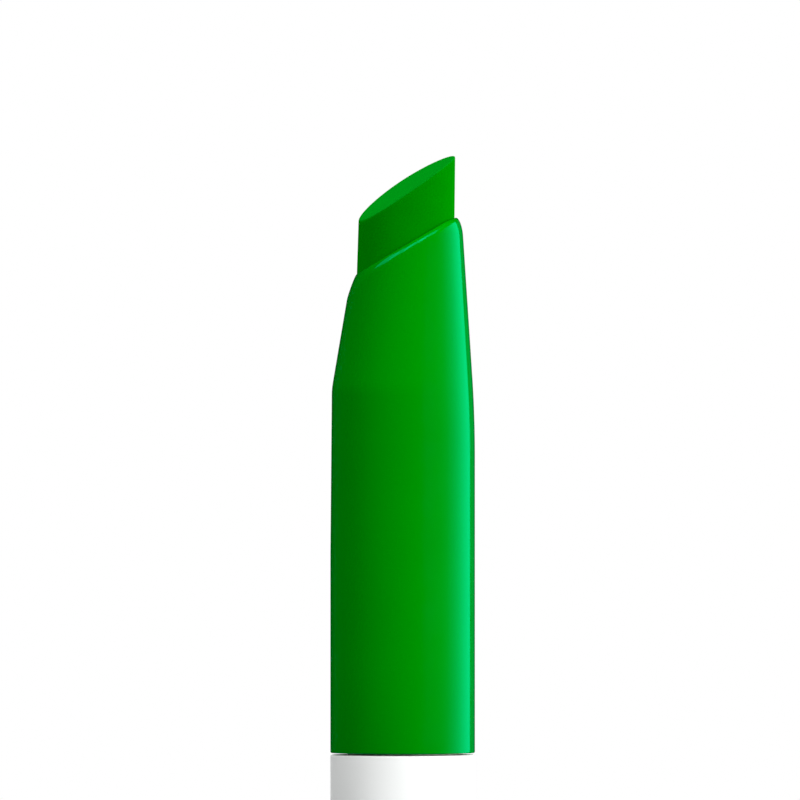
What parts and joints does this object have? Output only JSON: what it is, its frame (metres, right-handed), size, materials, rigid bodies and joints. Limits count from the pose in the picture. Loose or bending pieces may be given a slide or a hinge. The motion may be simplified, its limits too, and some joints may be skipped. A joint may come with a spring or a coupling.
{
  "type": "lead holder",
  "caption": "Twist-up holder for one thick coloured lead: round barrel, slanted off-centre nose, slanted lead tip, turning rear barrel.",
  "frame": {"origin": "centre of the flat rear face, on the barrel axis", "axes": "+Z along the barrel axis from the rear end to the tip; +X towards the high side of the slanted mouth"},
  "size_m": [0.012, 0.012, 0.1391],
  "materials": {
    "green_shell": "glossy opaque green, moulded",
    "white_shell": "glossy opaque white, moulded",
    "natural_plastic": "natural acetal, unpainted",
    "brass": "turned",
    "steel": "bright, as drawn",
    "rubber": "matt black",
    "foam": "soft grey pad",
    "green_lead": "matt waxy colour core"
  },
  "bodies": {
    "front": {"front_barrel": "green_shell", "guide_liner": "natural_plastic", "connector": "natural_plastic", "key_plate": "steel", "drag_o_ring": "rubber", "retaining_ring": "steel"},
    "turning": {"rear_barrel": "white_shell", "bearing_bush": "brass", "drive_sleeve": "natural_plastic", "feed_nut": "brass", "take_up_spring": "steel", "thrust_washer": "natural_plastic", "end_plug": "green_shell", "plug_o_ring": "rubber"},
    "sliding": {"feed_screw": "brass", "stop_washer": "brass", "stop_screw": "steel", "lead_cup": "natural_plastic", "cup_pin": "steel", "clamp_ring": "steel", "lead_pad": "foam", "lead": "green_lead"}
  },
  "joints": [
    {"name": "twist", "type": "hinge", "parent": "front", "child": "turning", "pos_m": [0, 0, 0.0895], "axis": [0, 0, 1], "range_deg": [-720, 2160]},
    {"name": "feed", "type": "slide", "parent": "front", "child": "sliding", "axis": [0, 0, 1], "range_m": [-0.006, 0.018]}
  ],
  "couplings": [
    {"joint": "feed", "follows": "twist", "m_per_rad": 0.00047746}
  ]
}
